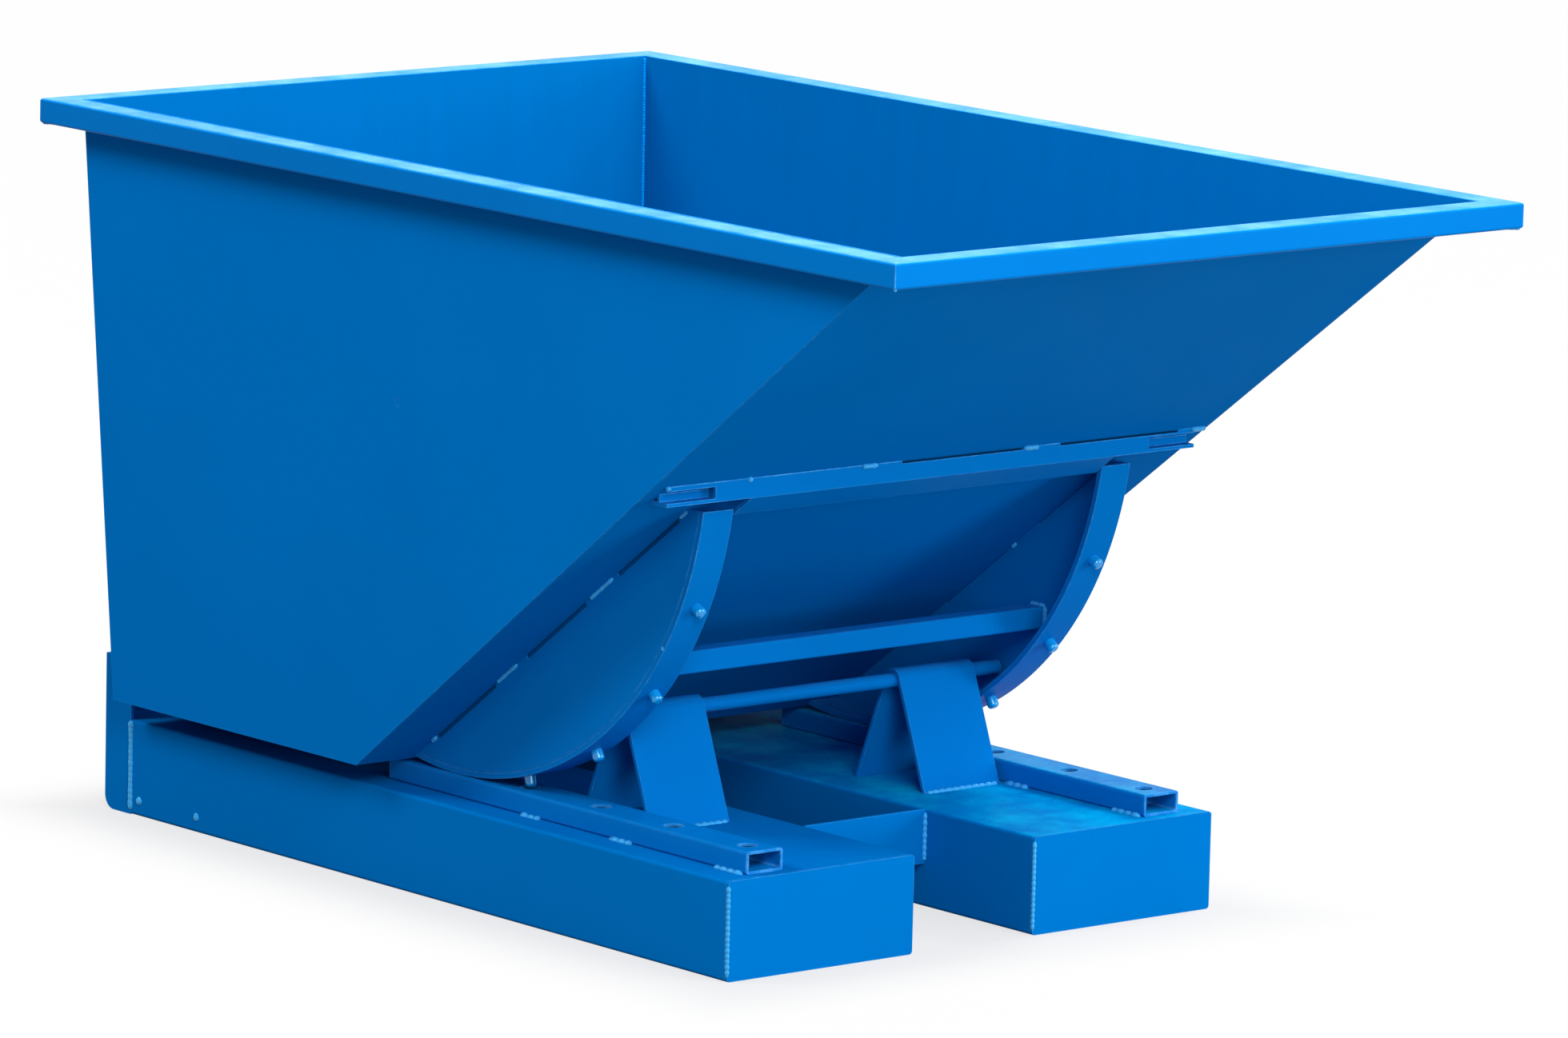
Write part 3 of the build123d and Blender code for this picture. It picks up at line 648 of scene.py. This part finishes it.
# The rim's tops are painted pale: a little dust, and mostly a painted highlight of the light they
# reflect.
rim_paint = painted_steel("rim_paint", sheen=0.3, drift=0.03, edge_wear_and_light=0.5, dust_and_top_light=0.62, gloss=1.08)
for node in ("rim_front", "rim_rear", "rim_left", "rim_right"):
    finish_node(node, rim_paint)
rim_low, rim_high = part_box("rim_front")
back_rim_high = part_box("rim_rear")[1]
rim_tube = rim_high.y - rim_low.y
mitre_runs = []
for sign in (-1, 1):
    for end, inward in ((rim_low.y, 1), (back_rim_high.y, -1)):
        outer = (sign * (rim_high.x - MITRE_SINK), end + inward * MITRE_SINK)
        inner = (sign * (rim_high.x - rim_tube), end + inward * rim_tube)
        top = rim_high.z - MITRE_SINK
        mitre_runs.append([(*outer, rim_low.z), (*inner, rim_low.z)])
        mitre_runs.append([(*outer, rim_low.z), (*outer, top)])
        mitre_runs.append([(*outer, top), (*inner, top)])
lay_welds("rim_mitre_welds", mitre_runs, MITRE_BEAD, "bin", seed=19, material=weld_paint)
groove_x = rim_high.x - rim_tube + GROOVE_BEAD / 2
groove_y = back_rim_high.y - rim_tube + GROOVE_BEAD / 2
groove_front = rim_low.y + rim_tube
groove_z = rim_high.z - GROOVE_SINK
groove_runs = [[(-groove_x, groove_y, groove_z), (groove_x, groove_y, groove_z)]]
for x in (-groove_x, groove_x):
    groove_runs.append([(x, groove_front, groove_z), (x, groove_y, groove_z)])
lay_welds(
    "rim_groove_welds",
    groove_runs,
    GROOVE_BEAD,
    "bin",
    seed=26,
    material=rim_paint,
    pitch=GROOVE_RIPPLE,
    dip=GROOVE_DIP,
)


# Rockers: a web plate and a curved band on each side, which carry the bin and roll along the rails.
# The plates are stitched to the slope between long gaps; a dark bead in each gap is painted shadow, and
# a bead in the plate's paint closes it on the inner side. Five round-topped studs stand on each band.
PLATE_EASE = 0.0007
STITCH_BEAD = 0.0034
STITCH_DROP = 0.55
SEAL_BEAD = 0.0020
SEAL_TALL = 1.65
SEAL_DROP = 0.0037
SEAL_RIPPLE = 9.0
SEAL_DIP = 0.04
SEAL_SPAN = (-0.300, 0.236)
STITCH_SPANS = ((-0.305, -0.290), (-0.156, -0.110), (0.040, 0.081), (0.209, 0.220))
BAND_TACK = (-0.260, 0.397)
TACK = 0.004
INNER_STITCH = 0.010
SHADOW_FILL_SINK = 0.0005
# Dark colour for the beads in the gaps: painted shadow, standing in for the shade inside them.
SHADOW_FILL = (0.0, 0.070, 0.24, 1.0)
SHADOW_FILL_FINISH = {"sheen": 0.6, "drift": 0.1, "wave": 0.0, "edge_wear_and_light": 0.0, "dust_and_top_light": 0.0, "gloss": 1.02}
# The studs are painted paler than the band: a painted highlight on their round heads.
STUD_BLUE_AND_HIGHLIGHT = (0.0, 0.26, 0.68, 1.0)
STUD_GLINT = (0.45, 0.85, 1.0, 1.0)
rocker_paint = painted_steel("rocker_paint", sheen=0.42, drift=0.05, edge_wear_and_light=0.5)
band_paint = painted_steel("band_paint", sheen=0.34, drift=0.05, edge_wear_and_light=0.7, reach=0.003)
stud_paint = painted_steel(
    "stud_paint", paint=STUD_BLUE_AND_HIGHLIGHT, glint=STUD_GLINT, sheen=0.17, wave=0.0, edge_wear_and_light=0.0, gloss=1.9
)
shadow_fill_paint = painted_steel("shadow_fill_paint", paint=SHADOW_FILL, **SHADOW_FILL_FINISH)
slope_under = floor_low.z


def under_slope(y):
    """How high the underside of the slope is at a place along the base."""
    return slope_under + (slope_foot - y) * math.tan(SLOPE_PITCH)


for side in ("left", "right"):
    finish_node(f"rocker_plate_{side}", rocker_paint, PLATE_EASE)
    finish_node(f"rocker_band_{side}", band_paint, PLATE_EASE)
    finish_node(f"rocker_studs_{side}", stud_paint, PLATE_EASE)
    low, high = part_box(f"rocker_plate_{side}")
    outer_face, inner_face, inward = (low.x, high.x, 1) if side == "left" else (high.x, low.x, -1)
    drop = STITCH_BEAD * STITCH_DROP
    stitches = []
    for start, end in STITCH_SPANS:
        end_z = under_slope(end) - drop
        for face, first in ((outer_face, start), (inner_face, end - INNER_STITCH)):
            stitches.append([(face, first, under_slope(first) - drop), (face, end, end_z)])
    tack_face = outer_face + inward * TACK / 2
    tack_y, tack_z = BAND_TACK
    stitches.append([(tack_face, tack_y, tack_z - TACK), (tack_face, tack_y, tack_z + TACK)])
    lay_welds(f"rocker_welds_{side}", stitches, STITCH_BEAD, "bin", seed=20, material=weld_paint)
    start, end = SEAL_SPAN
    start_z = under_slope(start) - SEAL_DROP
    end_z = under_slope(end) - SEAL_DROP
    seal_x = inner_face - inward * SEAL_BEAD
    shadow_fill_x = outer_face + inward * (SEAL_BEAD + SHADOW_FILL_SINK)
    packings = (("seal", seal_x, 25, rocker_paint), ("shadow_fill", shadow_fill_x, 28, shadow_fill_paint))
    for label, x, seed, paint in packings:
        lay_welds(
            f"rocker_{label}_{side}",
            [[(x, start, start_z), (x, end, end_z)]],
            SEAL_BEAD,
            "bin",
            seed=seed,
            material=paint,
            pitch=SEAL_RIPPLE,
            dip=SEAL_DIP,
            flat=SEAL_TALL,
        )


# Cross tube: a square tube between the rocker plates, with a bead round each end.
# It keeps the two rockers parallel.
TUBE_BEAD = 0.0040
finish_node("rocker_cross_tube", band_paint, RAIL_EASE)
low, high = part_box("rocker_cross_tube")
tube_runs = []
for x in (low.x, high.x):
    corners = [(x, low.y, low.z), (x, high.y, low.z), (x, high.y, high.z), (x, low.y, high.z)]
    tube_runs += [[a, b] for a, b in zip(corners, corners[1:] + corners[:1])]
lay_welds("cross_tube_welds", tube_runs, TUBE_BEAD, "bin", seed=21, material=weld_paint)


# Upper cross member: a folded stiffener under the slope, above the ends of the rocker bands.
# Its face is closed between the rockers and open beyond them, and it is stitched along its upper edge,
# with a dark bead in the gaps between the stitches as painted shadow.
MEMBER_BEAD = 0.0040
MEMBER_STITCHES = ((-0.126, -0.100), (0.150, 0.176), (-0.452, -0.444), (-0.318, -0.309), (0.444, 0.470))
MEMBER_SHEET = 0.005
# Darker still for the member's gaps: painted shadow.
MEMBER_SHADOW_FILL = (0.0, 0.026, 0.085, 1.0)
MEMBER_SHADOW_FILL_DROP = 0.0014
MEMBER_GAPS = ((-0.057, 0.149), (0.215, 0.421))
member_shadow_fill_paint = painted_steel("member_shadow_fill_paint", paint=MEMBER_SHADOW_FILL, **SHADOW_FILL_FINISH)
finish_node("upper_cross_member", band_paint, PLATE_EASE)
low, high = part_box("upper_cross_member")
member_z = under_slope(low.y) - MEMBER_BEAD * STITCH_DROP
member_runs = [[(start, low.y, member_z), (end, low.y, member_z)] for start, end in MEMBER_STITCHES]
lay_welds("cross_member_welds", member_runs, MEMBER_BEAD, "bin", seed=22, material=weld_paint)
shadow_fill_y = low.y + MEMBER_SHEET / 2
shadow_fill_z = under_slope(shadow_fill_y) - MEMBER_SHADOW_FILL_DROP
shadow_fill_runs = [[(start, shadow_fill_y, shadow_fill_z), (end, shadow_fill_y, shadow_fill_z)] for start, end in MEMBER_GAPS]
lay_welds(
    "cross_member_shadow_fill",
    shadow_fill_runs,
    SEAL_BEAD,
    "bin",
    seed=27,
    material=member_shadow_fill_paint,
    pitch=SEAL_RIPPLE,
    dip=SEAL_DIP,
)


# Striker: a plain steel rod across the back of the bin, held by two lugs welded to the rear wall.
# The latch hook drops over the rod, so its paint has worn off.
STEEL = (0.46, 0.47, 0.49, 1.0)
DULL_STEEL = (0.20, 0.20, 0.21, 1.0)
LUG_BEAD = 0.0024
LUG_SHEET = 0.006


def plain_steel(name):
    """Bare round bar, brushed along its length and dulled in patches."""
    material = bpy.data.materials.new(name)
    material.use_nodes = True
    tree = material.node_tree
    shader = tree.nodes["Principled BSDF"]
    place = add(tree, "ShaderNodeTexCoord").outputs["Object"]
    drawn = add(tree, "ShaderNodeMapping", {"Vector": place, "Scale": (18.0, 900.0, 900.0)})
    lines = cloud(tree, drawn.outputs[0], scale=1.0, detail=2.0)
    tarnish = spread(tree, cloud(tree, place, scale=60.0, detail=5.0, roughness=0.7), low=0.45, high=0.7)
    bump = add(tree, "ShaderNodeBump", {"Strength": 0.15, "Distance": 0.0005, "Height": lines})
    tree.links.new(blended(tree, tarnish, STEEL, DULL_STEEL), shader.inputs["Base Color"])
    brushed = spread(tree, lines, low=0.3, high=0.7, start=0.22, end=0.42)
    tree.links.new(brushed, shader.inputs["Roughness"])
    tree.links.new(bump.outputs["Normal"], shader.inputs["Normal"])
    shader.inputs["Metallic"].default_value = 1.0
    return material


bar_steel = plain_steel("bar_steel")
finish_node("striker_rod", bar_steel, RAIL_EASE)
finish_node("striker_lugs", rocker_paint, PLATE_EASE)
low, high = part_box("striker_lugs")
lug_runs = []
for edge in (low.x, low.x + LUG_SHEET, high.x - LUG_SHEET, high.x):
    lug_runs.append(
        [
            (edge, back_inside(low.z) + REAR_SHEET, low.z),
            (edge, back_inside(high.z) + REAR_SHEET, high.z),
        ]
    )
lay_welds("striker_lug_welds", lug_runs, LUG_BEAD, "bin", seed=23, material=weld_paint)


# Latch: a plate hook on a pin between two cheeks on the rear frame, with a round bar through it to pull.
# It stands laid back here, and swings forward over the striker rod to hold the bin level.
BRACKET_BEAD = 0.0026
BRACKET_WELD_TOP = 0.215
latch_paint = painted_steel("latch_paint", sheen=0.3, edge_wear_and_light=0.9, reach=0.003)
for node in ("latch_bracket", "latch_hook"):
    finish_node(node, latch_paint, PLATE_EASE)
for node in ("latch_pin", "latch_grip"):
    finish_node(node, bar_steel, PLATE_EASE)
low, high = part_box("latch_bracket")
bracket_runs = [[(x, high.y, low.z), (x, high.y, BRACKET_WELD_TOP)] for x in (low.x, high.x)]
lay_welds("latch_bracket_welds", bracket_runs, BRACKET_BEAD, "base", seed=24, material=weld_paint)


# Roll axis plugs: two small round plugs, flush in the side walls and painted over with them.
# They mark the axis that the rockers turn about.
plug_paint = painted_steel("plug_paint", sheen=0.4, drift=0.03, wave=1.0, edge_wear_and_light=0.2, gloss=1.02)
finish_node("roll_axis_plugs", plug_paint, SHEET_EASE / 2)


# Studio: a white floor that runs out of sight, with a soft shadow close round the base.
# The strongest softbox hangs overhead and the next stands high to the right. Weaker ones stand in front
# and behind to the left, and two low ones in front light the faces that look down.
FLOOR_HALF = 60.0
FLOOR_SEEN = (0.48, 0.48, 0.49, 1.0)
FLOOR_BOUNCE = (0.16, 0.16, 0.16, 1.0)
WHITE = (1.0, 1.0, 1.0, 1.0)
GLOW_NEAR = 0.70
GLOW_FAR = 0.985
GLOW_REACH = 0.22
SKY = 0.23
LAMP_AIM = Vector((0.0, 0.0, 0.5))
LAMP_DISTANCE = 7.0
LAMPS = (
    ("overhead_softbox", 0, 86, 2.4, 650.0),
    ("right_softbox", -90, 50, 2.4, 330.0),
    ("left_softbox", 30, 30, 2.4, 262.0),
    ("back_softbox", 120, 40, 2.4, 230.0),
    ("front_softbox", -15, 50, 2.4, 190.0),
    ("low_right_softbox", -35, 8, 2.4, 195.0),
    ("low_left_softbox", 20, 8, 2.4, 95.0),
)


def seen_as_background(tree):
    """A mask for rays from the camera and for those that metal or glass send on."""
    path = add(tree, "ShaderNodeLightPath").outputs
    sent_on = reckon(tree, "MAXIMUM", path["Is Glossy Ray"], path["Is Transmission Ray"])
    return reckon(tree, "MAXIMUM", path["Is Camera Ray"], sent_on)


floor_mesh = bpy.data.meshes.new("studio_floor")
floor_mesh.from_pydata(
    [(x * FLOOR_HALF, y * FLOOR_HALF, 0.0) for x, y in ((-1, -1), (1, -1), (1, 1), (-1, 1))],
    [],
    [(0, 1, 2, 3)],
)
studio_floor = bpy.data.objects.new("studio_floor", floor_mesh)
bpy.context.scene.collection.objects.link(studio_floor)
floor_white = bpy.data.materials.new("floor_white")
floor_white.use_nodes = True
floor_tree = floor_white.node_tree
floor_shader = floor_tree.nodes["Principled BSDF"]
floor_shader.inputs["Roughness"].default_value = 0.6
floor_shader.inputs["Specular IOR Level"].default_value = 0.1
seen = seen_as_background(floor_tree)
floor_tone = blended(floor_tree, seen, FLOOR_BOUNCE, FLOOR_SEEN)
floor_tree.links.new(floor_tone, floor_shader.inputs["Base Color"])
base_low, base_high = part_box("fork_pocket_left")
base_half = -base_low.x
base_middle = (base_low.y + base_high.y) / 2
base_length = base_high.y - base_low.y
spot = add(floor_tree, "ShaderNodeTexCoord").outputs["Object"]
spot = add(floor_tree, "ShaderNodeSeparateXYZ", {"Vector": spot}).outputs
beside = reckon(floor_tree, "SUBTRACT", reckon(floor_tree, "ABSOLUTE", spot["X"]), base_half)
along = reckon(floor_tree, "ABSOLUTE", reckon(floor_tree, "SUBTRACT", spot["Y"], base_middle))
along = reckon(floor_tree, "SUBTRACT", along, base_length / 2)
away = reckon(floor_tree, "MAXIMUM", beside, along)
clear = add(
    floor_tree,
    "ShaderNodeMapRange",
    {"Value": away, "From Min": 0.0, "From Max": GLOW_REACH, "To Min": GLOW_NEAR, "To Max": GLOW_FAR},
    interpolation_type="SMOOTHSTEP",
)
glow = add(floor_tree, "ShaderNodeEmission", {"Color": WHITE, "Strength": 1.0})
lit = reckon(floor_tree, "MULTIPLY", seen, clear.outputs[0])
whiter = add(
    floor_tree,
    "ShaderNodeMixShader",
    {0: lit, 1: floor_shader.outputs[0], 2: glow.outputs[0]},
)
floor_tree.links.new(whiter.outputs[0], floor_tree.nodes["Material Output"].inputs["Surface"])
floor_mesh.materials.append(floor_white)

sky = bpy.data.worlds.new("studio_sky")
bpy.context.scene.world = sky
sky.use_nodes = True
sky_tree = sky.node_tree
dim = sky_tree.nodes["Background"]
dim.inputs["Color"].default_value = WHITE
dim.inputs["Strength"].default_value = SKY
bright = add(sky_tree, "ShaderNodeBackground", {"Color": WHITE, "Strength": 1.0})
seen = seen_as_background(sky_tree)
both = add(sky_tree, "ShaderNodeMixShader", {0: seen, 1: dim.outputs[0], 2: bright.outputs[0]})
sky_tree.links.new(both.outputs[0], sky_tree.nodes["World Output"].inputs["Surface"])

for name, turn, height, size, power in LAMPS:
    lamp = bpy.data.lights.new(name, "AREA")
    lamp.size = size
    lamp.energy = power
    stand = bpy.data.objects.new(name, lamp)
    bpy.context.scene.collection.objects.link(stand)
    turn = math.radians(turn)
    height = math.radians(height)
    level = math.cos(height)
    outward = Vector((-math.sin(turn) * level, -math.cos(turn) * level, math.sin(height)))
    stand.location = LAMP_AIM + outward * LAMP_DISTANCE
    stand.rotation_mode = "QUATERNION"
    stand.rotation_quaternion = (-outward).to_track_quat("-Z", "Y")
    stand.visible_camera = False


# Camera: a long lens, far off and a little above the rim, looking at the front left corner.
# It is turned a touch about its own axis, as the picture is.
CAMERA_PLACE = (-8.3883, -10.1046, 2.7456)
CAMERA_YAW = math.radians(-39.869)
CAMERA_PITCH = math.radians(9.72)
CAMERA_ROLL = math.radians(1.34)
FOCAL_PIXELS = 12532.0
IMAGE_WIDTH = 1960.0
SENSOR = 36.0
lens = bpy.data.cameras.new("view_camera")
lens.sensor_width = SENSOR
lens.lens = FOCAL_PIXELS * SENSOR / IMAGE_WIDTH
lens.clip_end = 500.0
view_camera = bpy.data.objects.new("view_camera", lens)
bpy.context.scene.collection.objects.link(view_camera)
level_right = Vector((math.cos(CAMERA_YAW), math.sin(CAMERA_YAW), 0.0))
level_ahead = Vector((-math.sin(CAMERA_YAW), math.cos(CAMERA_YAW), 0.0))
upright = Vector((0.0, 0.0, 1.0))
ahead = level_ahead * math.cos(CAMERA_PITCH) - upright * math.sin(CAMERA_PITCH)
above = upright * math.cos(CAMERA_PITCH) + level_ahead * math.sin(CAMERA_PITCH)
rightward = level_right * math.cos(CAMERA_ROLL) + above * math.sin(CAMERA_ROLL)
upward = above * math.cos(CAMERA_ROLL) - level_right * math.sin(CAMERA_ROLL)
turned = Matrix((rightward, upward, -ahead)).transposed().to_4x4()
view_camera.matrix_world = Matrix.Translation(CAMERA_PLACE) @ turned
bpy.context.scene.camera = view_camera
bpy.context.scene.view_settings.view_transform = "Standard"
